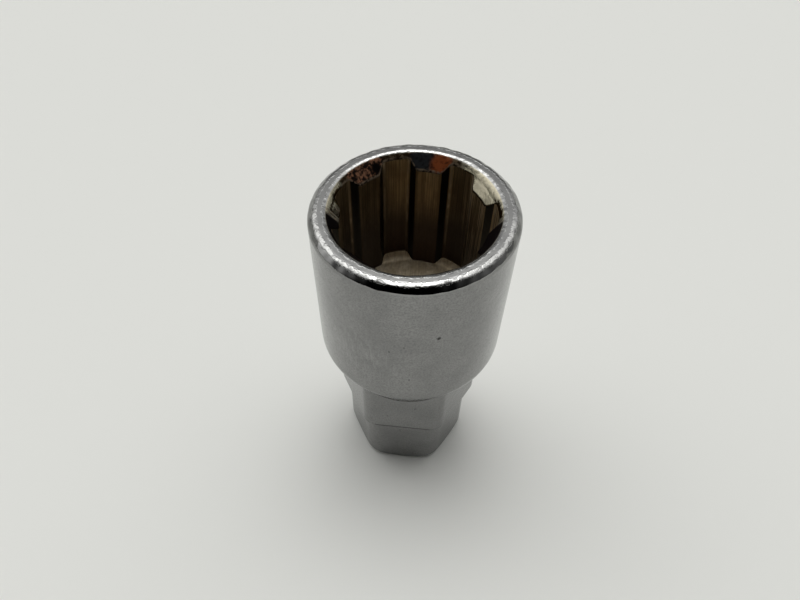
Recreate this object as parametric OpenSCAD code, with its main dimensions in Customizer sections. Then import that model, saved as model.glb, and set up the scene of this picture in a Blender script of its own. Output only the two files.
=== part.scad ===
// Key for splined locking wheel nuts: a round head with a splined socket in its
// top end, and a stepped hexagon below it that takes either of two wheel spanners.
// The key stands on its small hexagon, with its axis along Z and the socket up.

/* [Head] */
// Length of the whole key, hexagon to rim
overall_len = 55.4; // [48:0.1:70]
// Outside diameter of the round head
head_d = 28.4; // [27:0.1:34]
// Length of the straight part of the head
head_len = 25.8; // [23:0.1:30]
// Angle between the tapered shoulder and the axis
shoulder_angle = 28.5; // [22:0.5:40]
// Radius that blends the head into its shoulder
shoulder_blend_r = 4; // [1:0.5:8]
// Rounding of the outer edge of the rim
rim_outer_r = 0.75; // [0.2:0.05:1.2]
// Rounding of the inner edge of the rim
rim_inner_r = 0.25; // [0.1:0.05:0.5]

/* [Splined socket] */
// Number of teeth round the socket
tooth_count = 7; // [5:1:9]
// Depth of the socket below the rim
socket_depth = 21.2; // [12:0.1:24]
// Diameter of the socket's mouth, where the lead-in cone meets the rim
mouth_d = 23.6; // [23:0.1:24.6]
// Diameter across the bottoms of the grooves
groove_d = 22.4; // [21:0.1:23]
// Diameter across the tips of the teeth
tooth_tip_d = 20; // [17:0.1:20.6]
// Width of a tooth at its tip
tooth_tip_w = 3.5; // [2:0.1:4.5]
// Width of a tooth at its root
tooth_root_w = 6; // [4.6:0.1:6.6]
// Size of the cut corners at the bottom of each groove
groove_corner = 0.3; // [0.2:0.05:0.8]
// Depth at which the lead-in cone leaves the tooth tips
lead_in_depth = 2.1; // [1:0.1:3]
// Turn of the first tooth from the middle of the front flat
tooth_turn = 16.7; // [0:0.1:51]
// Width of the chamfer round the edge of the socket's floor
floor_chamfer_in = 1; // [0.4:0.1:1.2]
// Height of the chamfer round the edge of the socket's floor
floor_chamfer_up = 1.1; // [0.4:0.1:1.5]

/* [Stepped hexagon] */
// Width across the flats of the large hexagon
hex_large_af = 21; // [20:0.1:23]
// Rounding of the six corners of the large hexagon
hex_large_corner_r = 2.6; // [1:0.1:4]
// Width across the flats of the small hexagon
hex_small_af = 19; // [16:0.1:19.6]
// Rounding of the six corners of the small hexagon
hex_small_corner_r = 3.4; // [1:0.1:4]
// Length of the small hexagon
hex_small_len = 13.4; // [8:0.1:16]
// How far the end chamfer cuts into the flats of the small hexagon
end_chamfer_in = 0.1; // [0.05:0.05:0.6]
// Angle between the end chamfer and the axis
end_chamfer_angle = 45; // [35:1:65]

/* [Hidden] */
$fn = 96;

// Small overlap that keeps joined and cut faces from coinciding
eps = 0.02;
// How far cutting shapes run on past what they cut
run_on = 1;
// How far the shoulder's cone reaches in behind the flats of the large hexagon
shoulder_overlap = 1.5;
// How far each rounded corner stands proud, so that it meets its flats in clear edges
corner_proud = 0.005;

head_r = head_d / 2;
shoulder_z = overall_len - head_len;
shoulder_inner_r = hex_large_af / 2 - shoulder_overlap;
shoulder_drop = (head_r - shoulder_inner_r) / tan(shoulder_angle);
blend_len = shoulder_blend_r * tan(shoulder_angle / 2);

mouth_r = mouth_d / 2;
groove_r = groove_d / 2;
tooth_tip_r = tooth_tip_d / 2;
socket_floor_z = overall_len - socket_depth;
tooth_pitch = 360 / tooth_count;

// Points of an arc about a centre, in the half plane that is turned about Z
function arc_points(centre, r, from, to, steps = 8) =
    [for (i = [0 : steps]) let (a = from + (to - from) * i / steps)
        [centre[0] + r * cos(a), centre[1] + r * sin(a)]];

// Outline of the head: rim, straight wall, blend and tapered shoulder
function head_outline() = concat(
    [[0, shoulder_z - shoulder_drop]],
    [[shoulder_inner_r, shoulder_z - shoulder_drop]],
    arc_points([head_r - shoulder_blend_r, shoulder_z + blend_len], shoulder_blend_r, -shoulder_angle, 0),
    arc_points([head_r - rim_outer_r, overall_len - rim_outer_r], rim_outer_r, 0, 90),
    [[0, overall_len]]
);

// Turned blank of the head
module head_blank() {
    rotate_extrude() polygon(head_outline());
}

// Hexagonal prism with rounded corners, one flat facing the front
module rounded_hexagon(across_flats, corner_r, height) {
    corner_at = (across_flats / 2 - corner_r) / cos(30);
    linear_extrude(height)
        polygon([for (i = [0 : 5], side = [-1, 1])
            let (a = 60 * i, n = a + side * 30)
            [corner_at * cos(a) + corner_r * cos(n), corner_at * sin(a) + corner_r * sin(n)]]);
    for (i = [0 : 5])
        rotate(60 * i) translate([corner_at, 0, 0]) cylinder(h = height, r = corner_r + corner_proud);
}

// Small hexagon, with a cone that chamfers its lower end all round
module small_hexagon(height) {
    end_face_r = hex_small_af / 2 - end_chamfer_in;
    intersection() {
        rounded_hexagon(hex_small_af, hex_small_corner_r, height);
        cylinder(h = height, r1 = end_face_r, r2 = end_face_r + height * tan(end_chamfer_angle));
    }
}

// Both hexagons: the large one runs up into the shoulder
module stepped_hexagon() {
    small_hexagon(hex_small_len + eps);
    translate([0, 0, hex_small_len])
        rounded_hexagon(hex_large_af, hex_large_corner_r, shoulder_z - hex_small_len);
}

// Half angle that a tooth of a given width takes up at a given diameter
function tooth_half_angle(width, diameter) = asin(width / diameter);

// Space between two teeth along the X axis, narrower at its root, with cut corners
module groove_outline() {
    tip_half = tooth_pitch / 2 - tooth_half_angle(tooth_tip_w, tooth_tip_d);
    root_half = tooth_pitch / 2 - tooth_half_angle(tooth_root_w, groove_d);
    tip_at = tooth_tip_r * [cos(tip_half), sin(tip_half)];
    root_at = groove_r * [cos(root_half), sin(root_half)];
    along = (root_at - tip_at) / norm(root_at - tip_at);
    inner = tip_at - 2 * run_on * along;
    bend = root_at - groove_corner * along;
    outer_half = root_half - groove_corner / groove_r * 180 / PI;
    outer = (groove_r + run_on) * [cos(outer_half), sin(outer_half)];
    upper = [inner, bend, groove_r / norm(outer) * outer, outer];
    polygon(concat(upper, [for (i = [3 : -1 : 0]) [upper[i][0], -upper[i][1]]]));
}

// Broached grooves, from the chamfered edge of the floor up into the lead-in cone
module grooves() {
    groove_top = socket_depth - rim_inner_r;
    intersection() {
        rotate_extrude() polygon([[0, 0], [groove_r - floor_chamfer_in, 0], [groove_r, floor_chamfer_up],
            [groove_r, groove_top], [0, groove_top]]);
        for (i = [0 : tooth_count - 1])
            rotate(tooth_turn - 90 + tooth_pitch * (i + 0.5))
                translate([0, 0, -run_on]) linear_extrude(socket_depth + 2 * run_on) groove_outline();
    }
}

// Lead-in cone and the rounded inner edge of the rim
module socket_mouth() {
    top = socket_depth;
    cone_slope = (mouth_r - tooth_tip_r) / (lead_in_depth - rim_inner_r);
    rotate_extrude() polygon(concat(
        [[0, top - lead_in_depth - run_on]],
        [[tooth_tip_r - cone_slope * run_on, top - lead_in_depth - run_on]],
        arc_points([mouth_r + rim_inner_r, top - rim_inner_r], rim_inner_r, 180, 90),
        [[mouth_r + rim_inner_r, top + run_on], [0, top + run_on]]
    ));
}

module splined_socket() {
    translate([0, 0, socket_floor_z]) {
        cylinder(h = socket_depth, r = tooth_tip_r);
        grooves();
        socket_mouth();
    }
}

module key_body() color("silver") difference() {
    union() {
        head_blank();
        stepped_hexagon();
    }
    splined_socket();
}

key_body();
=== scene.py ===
"""Looks of a key for splined locking wheel nuts: satin chrome outside, broached and oily brown inside."""
import math

import bpy
import numpy as np
from mathutils import Matrix, Vector


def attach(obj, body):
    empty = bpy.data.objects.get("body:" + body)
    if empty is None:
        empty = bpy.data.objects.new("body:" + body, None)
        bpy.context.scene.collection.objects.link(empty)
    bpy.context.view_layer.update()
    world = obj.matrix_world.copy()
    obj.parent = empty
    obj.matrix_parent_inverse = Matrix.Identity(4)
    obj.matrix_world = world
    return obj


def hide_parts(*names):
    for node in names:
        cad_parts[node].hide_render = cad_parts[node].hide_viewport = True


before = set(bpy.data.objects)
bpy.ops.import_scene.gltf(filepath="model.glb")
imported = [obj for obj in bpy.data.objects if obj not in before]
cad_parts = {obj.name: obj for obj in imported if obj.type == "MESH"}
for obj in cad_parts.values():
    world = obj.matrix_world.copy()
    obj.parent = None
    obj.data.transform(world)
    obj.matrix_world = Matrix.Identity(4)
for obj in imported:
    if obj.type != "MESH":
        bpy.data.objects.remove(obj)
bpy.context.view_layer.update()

MM = 0.001

# Sizes of the key in millimetres, as its CAD solid has them
KEY_LEN = 55.4
HEAD_R = 14.2
HEAD_LEN = 25.8
SHOULDER_ANGLE = math.radians(28.5)
SHOULDER_BLEND = 1.05
RIM_INNER_R = 0.25
TOOTH_COUNT = 7
SOCKET_DEPTH = 21.2
MOUTH_R = 11.8
GROOVE_R = 11.2
TIP_R = 10.0
TIP_W = 3.5
ROOT_W = 6.0
LEAD_IN_DEPTH = 2.1
TOOTH_TURN = math.radians(16.7 - 90)
FLOOR_CHAMFER_IN = 1.0
FLOOR_CHAMFER_UP = 1.1
LARGE_AF = 21.0
SMALL_AF = 19.0
SMALL_LEN = 13.4
LARGE_CORNER_R = 2.6
SMALL_CORNER_R = 3.4
END_CHAMFER_IN = 0.1

# Small roundings of the real edges, in millimetres
TIP_CORNER = 0.35
ROOT_CORNER = 0.45
EDGE_BREAK = 0.1
RIM_INNER_BEND = 0.6

# The rim's outer zone: a slightly crowned band, then a worn chamfer down to the wall
CROWN_START = 1.35
CROWN_DROP = 0.17
RIM_CHAMFER_IN = 0.76
RIM_CHAMFER_DROP = 0.86

# Height less slope times radius, the same all over the shoulder's cone
SHOULDER_SLOPE = 1 / math.tan(SHOULDER_ANGLE)
SHOULDER_LEVEL = KEY_LEN - HEAD_LEN - HEAD_R * SHOULDER_SLOPE

# Dark pits in the plating: place and radius
PITS = [
    ((4.54, -13.46, 45.19), 0.36),
    ((-1.94, -14.07, 41.98), 0.15),
    ((0.07, -14.2, 43.43), 0.12),
    ((0.91, -14.17, 35.4), 0.14),
    ((1.97, -10.5, 20.49), 0.17),
    ((-0.45, -9.5, 10.57), 0.14),
]

# Stains of the lead-in's film at its back: place, radius and colour
STAINS = [
    ((0.4, 11.4, 54.2), 2.6, (0.017, 0.018, 0.02)),
    ((3.3, 10.4, 54.2), 2.0, (0.17, 0.045, 0.015)),
    ((-5.9, 9.0, 54.3), 1.0, (0.003, 0.002, 0.002)),
]

# Patch of rub marks on the head's wall
RUB_PLACE = (-6.5, -12.5, 38.0)
RUB_SIZE = 8.0

# Narrowest and widest steps between the mesh's columns
NARROWEST_STEP = math.radians(0.12)
WIDEST_STEP = math.radians(1.3)

# Studio round the key: name, azimuth and elevation in degrees, sharpness of the glow, strength
STUDIO = [
    ("overhead", 90, 90, 60, 1.566),
    ("lamp", 90, 75, 30, 4.5),
    ("lamp_edge", 90, 62, 30, 0.9),
    ("back", 90, 42, 14, 0.26),
    ("high_left", 150, 60, 14, 1.64),
    ("high_right", 30, 60, 14, 0.92),
    ("left", 165, 25, 10, 1.15),
    ("back_left", 130, 35, 12, 0.76),
    ("right", 0, 25, 10, 0.2),
    ("back_right", 50, 35, 12, 1.0),
]


def rounded_corner(before, corner, after, size, steps):
    """Points of a quadratic curve that cuts the corner, from size before it to size after it."""
    start = corner + (before - corner) / np.linalg.norm(before - corner, axis=-1, keepdims=True) * size
    end = corner + (after - corner) / np.linalg.norm(after - corner, axis=-1, keepdims=True) * size
    t = np.linspace(0, 1, steps).reshape(-1, *([1] * corner.ndim))
    return (1 - t) ** 2 * start + 2 * t * (1 - t) * corner + t ** 2 * end


def on_circle(radius, angle):
    """Point of a circle about the axis, in plan."""
    return np.array([radius * math.cos(angle), radius * math.sin(angle)])


def tooth_outline():
    """Half a tooth and half a groove in plan, as (angle from the tooth's middle, radius).

    Tip arc of radius TIP_R, straight flank, groove arc of radius GROOVE_R, with both corners rounded."""
    tip_half, root_half = math.asin(TIP_W / 2 / TIP_R), math.asin(ROOT_W / 2 / GROOVE_R)
    tip, root = on_circle(TIP_R, tip_half), on_circle(GROOVE_R, root_half)
    tip_bend = rounded_corner(on_circle(TIP_R, tip_half - 0.05), tip, root, TIP_CORNER, 7)
    root_bend = rounded_corner(tip, root, on_circle(GROOVE_R, root_half + 0.05), ROOT_CORNER, 7)
    share = np.array([0.04, 0.35, 0.65, 0.96])[:, None]
    flank = tip_bend[-1] * (1 - share) + root_bend[0] * share
    bent = np.concatenate([tip_bend, flank, root_bend])
    angle, radius = np.arctan2(bent[:, 1], bent[:, 0]), np.hypot(bent[:, 0], bent[:, 1])
    tip_arc = angle[0] * np.array([0, 0.35, 0.7, 0.93])
    groove_arc = angle[-1] + (math.pi / TOOTH_COUNT - angle[-1]) * np.array([0.07, 0.4, 0.7, 1])
    return (np.concatenate([tip_arc, angle, groove_arc]),
            np.concatenate([np.full(4, radius[0]), radius, np.full(4, radius[-1])]))


def wrapped(angle, pitch):
    """Distance from the nearest multiple of the pitch."""
    return np.abs((angle + pitch / 2) % pitch - pitch / 2)


def wall_radius(angle):
    """Radius of the socket's wall at each angle, from the outline of its teeth."""
    bends, radii = tooth_outline()
    return np.interp(wrapped(angle - TOOTH_TURN, 2 * math.pi / TOOTH_COUNT), bends, radii)


def hexagon_radius(angle, across_flats, corner_r):
    """Polar radius of a hexagon with rounded corners and one flat square to the front.

    Within the corner arc it is the far root of the ray and circle.
    Elsewhere it is the flat's distance over the cosine."""
    off = wrapped(angle, math.pi / 3)
    centre = (across_flats / 2 - corner_r) / math.cos(math.pi / 6)
    tangent = math.atan2(corner_r / 2, centre + corner_r * math.cos(math.pi / 6))
    arc = centre * np.cos(off) + np.sqrt(np.maximum(corner_r ** 2 - (centre * np.sin(off)) ** 2, 0))
    flat = across_flats / 2 / np.cos(math.pi / 6 - off)
    return np.where(off < tangent, arc, flat)


def turn_angles():
    """Angles of the mesh's columns: every bend of the seven teeth and six corners, with gaps filled."""
    bends, _ = tooth_outline()
    pitch = 2 * math.pi / TOOTH_COUNT
    teeth = [TOOTH_TURN + k * pitch + s * bends for k in range(TOOTH_COUNT) for s in (-1, 1)]
    corner = np.radians([0, 1.6, 3.2, 4.9, 6.5, 8.1, 9.7, 11.2])
    corners = [k * math.pi / 3 + s * corner for k in range(6) for s in (-1, 1)]
    all_angles = np.unique(np.round(np.concatenate(teeth + corners) % (2 * math.pi), 4))
    all_angles = all_angles[np.diff(all_angles, prepend=-1) > NARROWEST_STEP]
    gap = np.diff(all_angles, append=all_angles[0] + 2 * math.pi)
    fills = [a + g * np.arange(1, n) / n for a, g in zip(all_angles, gap)
             if (n := math.ceil(g / WIDEST_STEP)) > 1]
    return np.sort(np.concatenate([all_angles, *fills]))


def waves(angle, seed, turns, size):
    """Uneven ripple round the key: a sum of sines with random phase, with whole numbers of turns."""
    rng = np.random.default_rng(seed)
    phases = rng.uniform(0, 2 * math.pi, len(turns))
    return size * sum(np.sin(n * angle + p) for n, p in zip(turns, phases)) / len(turns)


def key_corners(angle):
    """Corners of the key's outline in the plane of each angle, from foot to rim to socket floor.

    Each is a name, a radius, a height, the size and steps of its rounding,
    and the steps of the run before it."""
    small = hexagon_radius(angle, SMALL_AF, SMALL_CORNER_R)
    large = hexagon_radius(angle, LARGE_AF, LARGE_CORNER_R)
    wall = wall_radius(angle)
    even = np.ones_like(angle)
    foot = even * (SMALL_AF / 2 - END_CHAMFER_IN)
    on_flat = np.clip((LARGE_AF / 2 + 0.75 - large) / 0.75, 0, 1)
    neck = SHOULDER_LEVEL + large * SHOULDER_SLOPE
    crown_edge = HEAD_R - RIM_CHAMFER_IN + waves(angle, 3, (7, 19, 31, 47), 0.14)
    chamfer_foot = KEY_LEN - RIM_CHAMFER_DROP + waves(angle, 4, (5, 13, 29, 43), 0.1)
    cone_slope = (LEAD_IN_DEPTH - RIM_INNER_R) / (MOUTH_R - TIP_R)
    cone_end = KEY_LEN - RIM_INNER_R - (MOUTH_R - wall) * cone_slope
    floor = KEY_LEN - SOCKET_DEPTH
    floor_foot = GROOVE_R - FLOOR_CHAMFER_IN
    floor_rise = np.maximum(wall - floor_foot, 0) / FLOOR_CHAMFER_IN * FLOOR_CHAMFER_UP
    inner_bend = RIM_INNER_BEND + waves(angle, 5, (9, 23, 41, 67), 0.14)
    return [
        ("foot", foot, 0 * even, 0.06, 3, 5),
        ("end_chamfer", small, small - foot, 0.08, 4, 2),
        ("step_inner", small, SMALL_LEN * even, 0.12, 4, 8),
        ("step_outer", large - EDGE_BREAK, SMALL_LEN * even, 0.06, 3, 2),
        ("step_edge", large, (SMALL_LEN + EDGE_BREAK) * even, 0.09, 4, 1),
        ("crease_foot", large, neck - 0.22, 0.06, 3, 6),
        ("crease", large - 0.16 * on_flat, neck - 0.02, 0.05, 3, 1),
        ("crease_top", large + 0.1, neck + 0.1 * SHOULDER_SLOPE, 0.06, 3, 1),
        ("shoulder", HEAD_R * even, (KEY_LEN - HEAD_LEN) * even, SHOULDER_BLEND, 8, 4),
        ("rim_foot", HEAD_R * even, chamfer_foot, 0.3, 7, 12),
        ("crown_edge", crown_edge, (KEY_LEN - CROWN_DROP) * even, 0.24, 7, 1),
        ("crown", (HEAD_R - CROWN_START) * even, KEY_LEN * even, 0.16, 5, 1),
        ("rim_inner", (MOUTH_R - RIM_INNER_R * 0.5) * even, KEY_LEN * even, inner_bend, 7, 2),
        ("tooth_top", wall, cone_end, 0.05 + 0.13 * (MOUTH_R - wall) / (MOUTH_R - TIP_R), 5, 5),
        ("floor_edge", wall, floor + floor_rise, 0.16, 4, 12),
        ("floor_foot", np.minimum(wall - 0.4, floor_foot), floor * even, 0.16 + 0.5 * floor_rise, 6, 2),
    ]


def key_meridian(angle):
    """Rows of points (radius, height) from foot to socket floor, with the row at which each stretch ends.

    Corners are cut by quadratic curves and joined by straight runs.
    The first and last steps of a run are short, so that shading stays flat on flat faces."""
    corners = key_corners(angle)
    points = [np.stack([r, z], axis=-1) for _, r, z, _, _, _ in corners]
    centre_low, centre_high = np.zeros((len(angle), 2)), np.zeros((len(angle), 2))
    centre_high[:, 1] = KEY_LEN - SOCKET_DEPTH
    chain = [centre_low, *points, centre_high]
    rows, ends, last = [], {}, centre_low
    for i, (name, _, _, size, steps, run) in enumerate(corners, 1):
        bend = rounded_corner(chain[i - 1], chain[i], chain[i + 1], np.reshape(size, (-1, 1)), steps)
        rows += straight_run(last, bend[0], run) + list(bend)
        last = bend[-1]
        ends[name] = len(rows)
    rows += straight_run(last, centre_high, 6)
    return np.array(rows), ends


def straight_run(start, end, steps):
    """Points inside a straight run: one close to each end, and the others evenly between."""
    if steps < 2:
        return []
    share = np.concatenate([[0.02], np.linspace(0, 1, steps + 1)[1:-1], [0.98]])
    return [start + (end - start) * s for s in share]


def toothness(angle):
    """How far each column lies on a tooth: nought at the bottom of a groove, one at a tooth's tip."""
    return (GROOVE_R - wall_radius(angle)) / (GROOVE_R - TIP_R)


def closed_of_revolution(name, rows, angle):
    """Closed mesh of quads between rows of points, with one pole at each end and outward faces."""
    count, around = rows.shape[:2]
    x = rows[..., 0] * np.cos(angle)
    y = rows[..., 0] * np.sin(angle)
    ring = np.stack([x, y, rows[..., 1]], axis=-1).reshape(-1, 3)
    poles = np.array([[0, 0, rows[0, 0, 1]], [0, 0, rows[-1, 0, 1]]])
    i, j = np.meshgrid(np.arange(count - 1), np.arange(around), indexing="ij")
    k = (j + 1) % around
    quads = np.stack([i * around + j, i * around + k, (i + 1) * around + k, (i + 1) * around + j], axis=-1)
    near, far, j = count * around, count * around + 1, np.arange(around)
    k = (j + 1) % around
    first = np.stack([np.full(around, near), k, j], axis=-1)
    last = np.stack([np.full(around, far), (count - 1) * around + j, (count - 1) * around + k], axis=-1)
    triangles = np.concatenate([first, last])
    return mesh_piece(name, np.concatenate([ring, poles]) * MM, quads.reshape(-1, 4), triangles)


def mesh_piece(name, points, quads, triangles):
    """Mesh object from arrays of points, quads and triangles, shaded smooth."""
    mesh = bpy.data.meshes.new(name)
    corners = np.concatenate([quads.ravel(), triangles.ravel()])
    sizes = np.concatenate([np.full(len(quads), 4), np.full(len(triangles), 3)])
    mesh.vertices.add(len(points))
    mesh.vertices.foreach_set("co", points.ravel())
    mesh.loops.add(len(corners))
    mesh.loops.foreach_set("vertex_index", corners.astype(np.int32))
    mesh.polygons.add(len(sizes))
    mesh.polygons.foreach_set("loop_start", np.concatenate([[0], np.cumsum(sizes)[:-1]]).astype(np.int32))
    mesh.polygons.foreach_set("use_smooth", np.ones(len(sizes), bool))
    mesh.update(calc_edges=True)
    mesh.validate()
    piece = bpy.data.objects.new(name, mesh)
    bpy.context.scene.collection.objects.link(piece)
    return piece


def build_key():
    """The whole key as one closed skin over its CAD solid: outside, socket walls and socket floor."""
    angle = turn_angles()
    rows, ends = key_meridian(angle)
    piece = closed_of_revolution("key", rows, angle)
    for finish in (satin_chrome(), broached_steel(), socket_floor_steel()):
        piece.data.materials.append(finish)
    outside, walls, floor = range(3)
    finish_of_row = np.full(len(rows) - 1, outside, np.int32)
    finish_of_row[ends["tooth_top"] - 1:] = walls
    finish_of_row[ends["floor_edge"] - 1:] = floor
    around = len(angle)
    of_poles = [np.full(around, outside, np.int32), np.full(around, floor, np.int32)]
    of_face = np.concatenate([np.repeat(finish_of_row, around), *of_poles])
    piece.data.polygons.foreach_set("material_index", of_face)
    tooth = piece.data.attributes.new("tooth", "FLOAT", "POINT")
    of_point = np.append(np.tile(toothness(angle), len(rows)), [0, 0])
    tooth.data.foreach_set("value", of_point.astype(np.float32))
    piece.data.update()
    return piece


def node(tree, kind, inputs=None, **settings):
    """Node with its settings, and with values or links on its named or numbered inputs."""
    made = tree.nodes.new(kind)
    for key, value in settings.items():
        setattr(made, key, value)
    for socket, value in (inputs or {}).items():
        if isinstance(value, bpy.types.NodeSocket):
            tree.links.new(value, made.inputs[socket])
        else:
            made.inputs[socket].default_value = value
    return made


def calc(tree, operation, a, b=0.0):
    """One step of arithmetic, on numbers or on other nodes' values."""
    return node(tree, "ShaderNodeMath", {0: a, 1: b}, operation=operation).outputs[0]


def fade(tree, value, low, high, out_low=0.0, out_high=1.0):
    """Smooth step of a value from low to high."""
    settings = {"Value": value, "From Min": low, "From Max": high, "To Min": out_low, "To Max": out_high}
    return node(tree, "ShaderNodeMapRange", settings, interpolation_type="SMOOTHSTEP").outputs[0]


def tint(tree, share, under, over):
    """Colour between under and over."""
    mixed = node(tree, "ShaderNodeMix", data_type="RGBA")
    for socket, value in zip((mixed.inputs[0], mixed.inputs[6], mixed.inputs[7]), (share, under, over)):
        if isinstance(value, bpy.types.NodeSocket):
            tree.links.new(value, socket)
        else:
            socket.default_value = (*value, 1) if isinstance(value, tuple) else value
    return mixed.outputs[2]


def noise(tree, place, scale, detail=2.0, rough=0.5, distortion=0.0):
    """Noise with the given number of cells in each millimetre."""
    settings = {"Vector": place, "Scale": scale, "Detail": detail, "Roughness": rough,
                "Distortion": distortion}
    return node(tree, "ShaderNodeTexNoise", settings).outputs[0]


def squeezed(tree, place, x, y, z):
    """The place with each of its coordinates scaled."""
    return node(tree, "ShaderNodeVectorMath", {0: place, 1: (x, y, z)}, operation="MULTIPLY").outputs[0]


def new_metal(name, metallic):
    """Empty metal: its material, node tree and shader, the place in millimetres, and x, y, z and radius."""
    material = bpy.data.materials.new(name)
    material.use_nodes = True
    tree = material.node_tree
    shader = tree.nodes["Principled BSDF"]
    shader.inputs["Metallic"].default_value = metallic
    coordinates = node(tree, "ShaderNodeTexCoord").outputs["Object"]
    place = squeezed(tree, coordinates, 1000, 1000, 1000)
    split = node(tree, "ShaderNodeSeparateXYZ", {0: place}).outputs
    in_plan = squeezed(tree, place, 1, 1, 0)
    radius = node(tree, "ShaderNodeVectorMath", {0: in_plan}, operation="LENGTH").outputs["Value"]
    return material, tree, shader, place, split[0], split[1], split[2], radius


def bump(tree, shader, layers):
    """Stacked bumps, each a height field and its depth in millimetres."""
    normal = None
    for height, depth in layers:
        inputs = {"Height": height, "Distance": depth * MM, "Strength": 1.0}
        if normal:
            inputs["Normal"] = normal
        normal = node(tree, "ShaderNodeBump", inputs).outputs[0]
    tree.links.new(normal, shader.inputs["Normal"])


def both(tree, *shares):
    """Product of shares."""
    total = shares[0]
    for share in shares[1:]:
        total = calc(tree, "MULTIPLY", total, share)
    return total


def spot(tree, place, centre, size):
    """Share that is full within half of the size round the centre, and nought beyond the size."""
    inputs = {0: place, 1: centre}
    away = node(tree, "ShaderNodeVectorMath", inputs, operation="DISTANCE").outputs["Value"]
    return fade(tree, away, size, size / 2)


def flat_distance(tree, place):
    """Distance from the key's axis to the hexagon's flat that passes through the place."""
    total = 0.0
    for turn in (90, 30, -30):
        across = (math.cos(math.radians(turn)), math.sin(math.radians(turn)), 0)
        along = node(tree, "ShaderNodeVectorMath", {0: place, 1: across}, operation="DOT_PRODUCT")
        total = calc(tree, "MAXIMUM", calc(tree, "ABSOLUTE", along.outputs["Value"]), total)
    return total


def hexagon_shade_lines(tree, place, z, radius):
    """Painted shade: thin dark lines where the shoulder leaves the flats and along the lower edge of the
    large hexagon.
    """
    near_flat = flat_distance(tree, place)
    level = calc(tree, "SUBTRACT", z, calc(tree, "MULTIPLY", radius, SHOULDER_SLOPE))
    crease = both(tree, fade(tree, near_flat, 10.72, 10.58),
                  fade(tree, level, SHOULDER_LEVEL - 0.3, SHOULDER_LEVEL - 0.12),
                  fade(tree, radius, 11.7, 11.1))
    step = both(tree, fade(tree, near_flat, 10.2, 10.3), fade(tree, near_flat, 10.6, 10.52),
                fade(tree, z, SMALL_LEN + 0.5, SMALL_LEN + 0.3), fade(tree, radius, 11.75, 11.3))
    return calc(tree, "MAXIMUM", calc(tree, "MULTIPLY", crease, 0.8), calc(tree, "MULTIPLY", step, 0.9))


def lead_in_film_and_shade(tree, place, x, y, z, radius):
    """Mottled brown coat on the lead-in, stained at the back, with painted shade that turns its near side
    black.

    Gives the share of the coat and the painted shade, the share of the lead-in, and their colour."""
    mottle = noise(tree, place, 1.9, 4, 0.65, 0.3)
    streaks = noise(tree, squeezed(tree, place, 0.3, 2.5, 0.3), 1.0, 3)
    tooth = node(tree, "ShaderNodeAttribute", attribute_name="tooth").outputs["Fac"]
    in_mouth = both(tree, fade(tree, radius, 11.78, 11.6), fade(tree, z, 50.0, 52.0))
    # Painted shade: the near side of the lead-in, towards the front, goes black
    black = fade(tree, calc(tree, "ADD", y, calc(tree, "MULTIPLY", streaks, 2.5)), 0.9, -0.3)
    back = both(tree, fade(tree, x, 6.8, 5.8), fade(tree, y, 4.0, 5.0))
    colour = tint(tree, fade(tree, mottle, 0.45, 0.62), (0.012, 0.007, 0.005), (0.20, 0.10, 0.06))
    for centre, size, shade in STAINS:
        colour = tint(tree, spot(tree, place, centre, size), colour, shade)
    colour = tint(tree, fade(tree, mottle, 0.5, 0.36, 0.0, 0.6), colour, (0.004, 0.003, 0.003))
    groove_film = tint(tree, fade(tree, mottle, 0.5, 0.65), (0.018, 0.011, 0.005), (0.11, 0.08, 0.05))
    colour = tint(tree, fade(tree, tooth, 0.12, 0.02), colour, groove_film)
    # Painted highlight: a lighter broken line along the lead-in's lower edge, where it meets the socket
    # wall
    to_wall = calc(tree, "ADD", radius, calc(tree, "MULTIPLY", tooth, GROOVE_R - TIP_R))
    at_edge = fade(tree, to_wall, GROOVE_R + 0.22, GROOVE_R + 0.12)
    outline = both(tree, at_edge, fade(tree, mottle, 0.4, 0.56))
    colour = tint(tree, outline, colour, (0.13, 0.1, 0.07))
    # The painted shade's black over the lead-in's near side
    colour = tint(tree, black, colour, (0.003, 0.002, 0.002))
    return both(tree, in_mouth, calc(tree, "MAXIMUM", black, back)), in_mouth, colour


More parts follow.
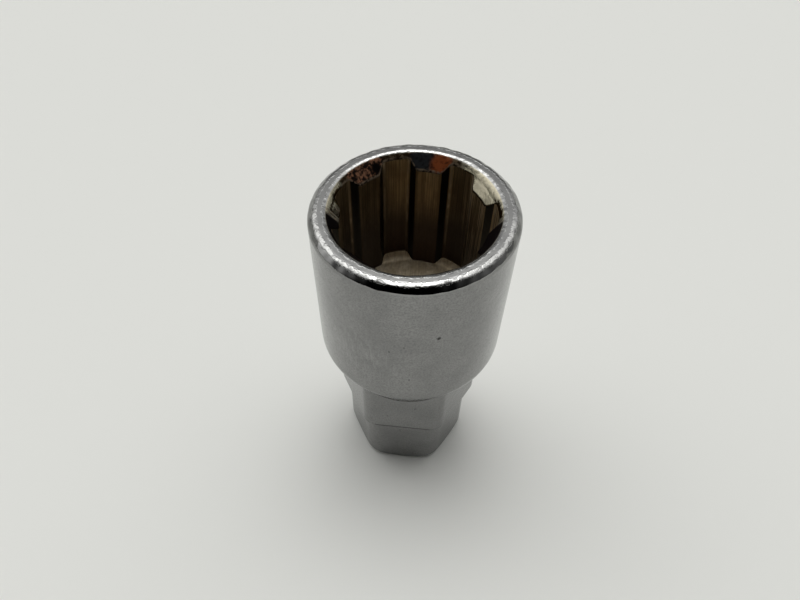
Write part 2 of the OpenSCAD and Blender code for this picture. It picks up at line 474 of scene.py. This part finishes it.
def satin_chrome():
    """Dull grey chrome with an uneven plated skin, pits, a rubbed patch and a dirty coat on the lead-in.

    Painted shade darkens the hexagon's crease and step, its sides and the lead-in's near side;
    painted highlights brighten the rim's crown at the front and its inner edge at the back.
    """
    material, tree, shader, place, x, y, z, radius = new_metal("satin_chrome", 1)
    cloud = noise(tree, place, 0.25, 3)
    grain = noise(tree, place, 4.2, 3, 0.65)
    peel = noise(tree, place, 0.9, 3, 0.55)
    lumps = noise(tree, place, 1.6, 3, 0.6, 0.4)
    rubs = noise(tree, squeezed(tree, place, 2.8, 2.8, 0.5), 1.0, 2, 0.5)
    colour = tint(tree, fade(tree, cloud, 0.35, 0.65), (0.245, 0.245, 0.243), (0.285, 0.285, 0.281))
    calm = fade(tree, z, KEY_LEN - 1.2, KEY_LEN - 0.8, 1.0, 0.12)
    grained = both(tree, fade(tree, grain, 0.35, 0.7, 0.0, 0.7), calm)
    colour = tint(tree, grained, colour, (0.15, 0.15, 0.148))
    rubbed = both(tree, spot(tree, place, RUB_PLACE, RUB_SIZE), fade(tree, rubs, 0.53, 0.62, 0.0, 0.3))
    colour = tint(tree, rubbed, colour, (0.34, 0.34, 0.335))
    on_rim = fade(tree, z, KEY_LEN - 1.2, KEY_LEN - 0.6)
    ragged = calc(tree, "ADD", radius, fade(tree, lumps, 0.3, 0.7, -0.12, 0.12))
    crown = both(tree, fade(tree, ragged, 12.8, 12.95), fade(tree, ragged, 13.55, 13.4))
    worn_edge = both(tree, calc(tree, "MAXIMUM", crown, fade(tree, ragged, 12.25, 12.1)), on_rim)
    # Painted highlight: the inner edge at the back and the crown at the front are brightened where they
    # face the overhead light, broken up by lumps
    lit_back_edge = both(tree, fade(tree, ragged, 12.32, 12.18), fade(tree, y, 3.0, 8.0))
    lit_front_crown = both(tree, crown, fade(tree, y, 1.0, -3.0))
    crown_highlight_paint = both(tree, calc(tree, "MAXIMUM", lit_front_crown, lit_back_edge), on_rim,
                fade(tree, lumps, 0.4, 0.54, 0.0, 0.7))
    colour = tint(tree, crown_highlight_paint, colour, (0.5, 0.5, 0.49))
    cell = node(tree, "ShaderNodeTexVoronoi", {"Vector": place, "Scale": 0.42})
    pit = both(tree, fade(tree, cell.outputs["Distance"], 0.06, 0.03),
               fade(tree, cell.outputs["Color"], 0.55, 0.6))
    for centre, size in PITS:
        pit = calc(tree, "MAXIMUM", pit, spot(tree, place, centre, size))
    pitted = calc(tree, "MULTIPLY", pit, 0.85)
    # Real pits and the painted shade lines of the hexagon's crease and step share one dark tint
    pits_and_shade_lines = calc(tree, "MAXIMUM", pitted, hexagon_shade_lines(tree, place, z, radius))
    colour = tint(tree, pits_and_shade_lines, colour, (0.02, 0.018, 0.016))
    # The lead-in's coat and the painted shade on its near side, both made dull and less metallic below
    film_and_shade, in_mouth, film_and_shade_colour = lead_in_film_and_shade(tree, place, x, y, z, radius)
    colour = tint(tree, in_mouth, colour, (0.38, 0.35, 0.265))
    colour = tint(tree, film_and_shade, colour, film_and_shade_colour)
    # Painted shade: darker where the hexagons turn to the left and right, below the shoulder
    shaded_sides = both(tree, fade(tree, calc(tree, "ABSOLUTE", x), 5.4, 7.0),
                      fade(tree, z, 26.5, 25.5, 0.0, 0.8))
    colour = tint(tree, shaded_sides, colour, (0.13, 0.13, 0.128))
    tree.links.new(colour, shader.inputs["Base Color"])
    metallic = calc(tree, "SUBTRACT", 1.0, calc(tree, "MULTIPLY", film_and_shade, 0.9))
    tree.links.new(metallic, shader.inputs["Metallic"])
    specular = calc(tree, "SUBTRACT", 0.5, calc(tree, "MULTIPLY", film_and_shade, 0.48))
    tree.links.new(specular, shader.inputs["Specular IOR Level"])
    skin = fade(tree, grain, 0.25, 0.75, 0.15, 0.22)
    polish = calc(tree, "MULTIPLY", skin, fade(tree, z, KEY_LEN - 1.5, KEY_LEN - 0.9, 1.0, 0.5))
    rough = calc(tree, "MAXIMUM", polish, calc(tree, "MULTIPLY", film_and_shade, 0.5))
    tree.links.new(rough, shader.inputs["Roughness"])
    bump(tree, shader, [(both(tree, peel, calm), 0.045), (both(tree, grain, calm), 0.012),
                        (both(tree, lumps, worn_edge), 0.07), (pit, -0.1), (rubbed, -0.01)])
    return material


def broached_steel():
    """Steel brown with oil, streaked on tips and groove bottoms, with painted shade that darkens it with
    depth, at the sides and to black on the flanks, and painted highlights along the groove roots.
    """
    material, tree, shader, place, x, _, z, radius = new_metal("broached_steel", 0.5)
    scores = noise(tree, squeezed(tree, place, 4.5, 4.5, 0.07), 1.0, 3, 0.65)
    blotch = noise(tree, squeezed(tree, place, 1, 1, 0.5), 0.55, 3)
    colour = tint(tree, fade(tree, scores, 0.3, 0.7), (0.175, 0.118, 0.048), (0.47, 0.33, 0.17))
    colour = tint(tree, fade(tree, blotch, 0.35, 0.7, 0.0, 0.6), colour, (0.16, 0.09, 0.035))
    # Painted shade: darker deeper into the socket
    colour = tint(tree, fade(tree, z, 51.5, 41.5, 0.0, 0.96), colour, (0.03, 0.012, 0.003))
    # Painted shade: darker towards the socket's left and right sides
    side_shade = fade(tree, calc(tree, "ABSOLUTE", x), 3.2, 6.5, 0.0, 0.6)
    colour = tint(tree, side_shade, colour, (0.01, 0.004, 0.001))
    scuffed = both(tree, fade(tree, x, 6.5, 8.5), fade(tree, scores, 0.52, 0.6),
                   fade(tree, z, 38.0, 50.0))
    colour = tint(tree, both(tree, scuffed, 0.7), colour, (0.6, 0.45, 0.28))
    # Painted shade: the flanks between tips and grooves go black
    flank = both(tree, fade(tree, radius, TIP_R + 0.1, TIP_R + 0.2),
                 fade(tree, radius, GROOVE_R - 0.15, GROOVE_R - 0.25))
    colour = tint(tree, flank, colour, (0.003, 0.002, 0.001))
    # Painted highlight: light lines along the groove roots, stronger towards the mouth
    root = both(tree, fade(tree, radius, GROOVE_R - 0.16, GROOVE_R - 0.08),
                fade(tree, radius, GROOVE_R - 0.003, GROOVE_R - 0.02))
    root_highlight = both(tree, root, fade(tree, z, 37.0, 50.0, 0.1, 0.7),
                 fade(tree, blotch, 0.4, 0.6, 0.35, 1.0))
    colour = tint(tree, root_highlight, colour, (0.6, 0.48, 0.33))
    tree.links.new(colour, shader.inputs["Base Color"])
    tree.links.new(fade(tree, scores, 0.3, 0.7, 0.42, 0.28), shader.inputs["Roughness"])
    bump(tree, shader, [(scores, 0.04), (blotch, 0.03)])
    return material


def socket_floor_steel():
    """Pale brown-grey floor of the socket, dull and mottled, with fine lines across it."""
    material, tree, shader, place, *_ = new_metal("socket_floor_steel", 0.5)
    mottle = noise(tree, place, 0.8, 4, 0.6)
    lines = noise(tree, squeezed(tree, place, 3.5, 0.4, 1), 1.0, 2)
    colour = tint(tree, fade(tree, mottle, 0.3, 0.7), (0.48, 0.385, 0.25), (0.72, 0.62, 0.46))
    colour = tint(tree, fade(tree, lines, 0.45, 0.65, 0.0, 0.45), colour, (0.36, 0.28, 0.18))
    tree.links.new(colour, shader.inputs["Base Color"])
    shader.inputs["Roughness"].default_value = 0.55
    bump(tree, shader, [(mottle, 0.04)])
    return material


def matt_pale():
    """Plain pale paper of the floor and backdrop."""
    material = bpy.data.materials.new("pale_paper")
    material.use_nodes = True
    shader = material.node_tree.nodes["Principled BSDF"]
    shader.inputs["Base Color"].default_value = (0.76, 0.765, 0.74, 1)
    shader.inputs["Roughness"].default_value = 0.9
    shader.inputs["Specular IOR Level"].default_value = 0.2
    return material


def add_floor():
    """Floor that curves up into a low round backdrop: a disc, then a quarter ellipse round the key."""
    disc_r, curve_out, curve_up, around = 1.5, 0.6, 0.55, 96
    bend = np.linspace(0, math.pi / 2, 16)
    radius = np.concatenate([[0.02, 0.1, 0.4, 1.0], disc_r + curve_out * np.sin(bend)])
    height = np.concatenate([np.zeros(4), curve_up * (1 - np.cos(bend))])
    angle = np.linspace(0, 2 * math.pi, around, endpoint=False)
    ring = np.stack([radius[:, None] * np.cos(angle), radius[:, None] * np.sin(angle),
                     np.broadcast_to(height[:, None], (len(radius), around))], axis=-1).reshape(-1, 3)
    i, j = np.meshgrid(np.arange(len(radius) - 1), np.arange(around), indexing="ij")
    k = (j + 1) % around
    quads = np.stack([i * around + j, (i + 1) * around + j, (i + 1) * around + k, i * around + k], axis=-1)
    column = np.arange(around)
    middle = np.stack([np.full(around, len(ring)), column, (column + 1) % around], axis=-1)
    floor = mesh_piece("floor", np.concatenate([ring, [[0.0, 0.0, 0.0]]]), quads.reshape(-1, 4), middle)
    floor.data.materials.append(matt_pale())


def add_camera():
    """Camera at the photograph's place: near the rim, looking steeply down.

    The photo's width, the focal length and the column of the lens's axis are in the photo's pixels."""
    width_px, lens_px, axis_px = 800, 639.1, 339.6
    heading, pitch, roll = math.radians(12.5), math.radians(51.36), math.radians(-5.66)
    place = Vector((2.63, -62.2, 114.26)) * MM
    forward = math.cos(pitch)
    ahead = Vector((-math.sin(heading) * forward, math.cos(heading) * forward, -math.sin(pitch)))
    level = Vector((math.cos(heading), math.sin(heading), 0))
    upright = level.cross(ahead)
    right = math.cos(roll) * level + math.sin(roll) * upright
    up = -math.sin(roll) * level + math.cos(roll) * upright
    data = bpy.data.cameras.new("camera")
    data.sensor_width = 36
    data.lens = lens_px / width_px * data.sensor_width
    data.shift_x = (width_px / 2 - axis_px) / width_px
    data.clip_start = 0.005
    camera = bpy.data.objects.new("camera", data)
    camera.matrix_world = Matrix((
        (right.x, up.x, -ahead.x, place.x), (right.y, up.y, -ahead.y, place.y),
        (right.z, up.z, -ahead.z, place.z), (0, 0, 0, 1)))
    bpy.context.scene.collection.objects.link(camera)
    bpy.context.scene.camera = camera


def add_studio():
    """Soft studio: each glow is its strength times the cosine from its middle, to a power."""
    world = bpy.data.worlds.new("studio")
    world.use_nodes = True
    tree = world.node_tree
    toward = node(tree, "ShaderNodeTexCoord").outputs["Object"]
    total = 0.0
    for _, azimuth, elevation, sharpness, strength in STUDIO:
        a, e = math.radians(azimuth), math.radians(elevation)
        middle = (math.cos(e) * math.cos(a), math.cos(e) * math.sin(a), math.sin(e))
        cosine = node(tree, "ShaderNodeVectorMath", {0: toward, 1: middle}, operation="DOT_PRODUCT")
        glow = calc(tree, "POWER", calc(tree, "MAXIMUM", cosine.outputs["Value"], 0.0), sharpness)
        total = calc(tree, "ADD", calc(tree, "MULTIPLY", glow, strength), total)
    tree.links.new(total, tree.nodes["Background"].inputs["Strength"])
    tree.nodes["Background"].inputs["Color"].default_value = (1, 1, 0.985, 1)
    bpy.context.scene.world = world


key = build_key()
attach(key, "root")
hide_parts("key_body")
add_floor()
add_camera()
add_studio()
bpy.context.scene.view_settings.view_transform = "Standard"
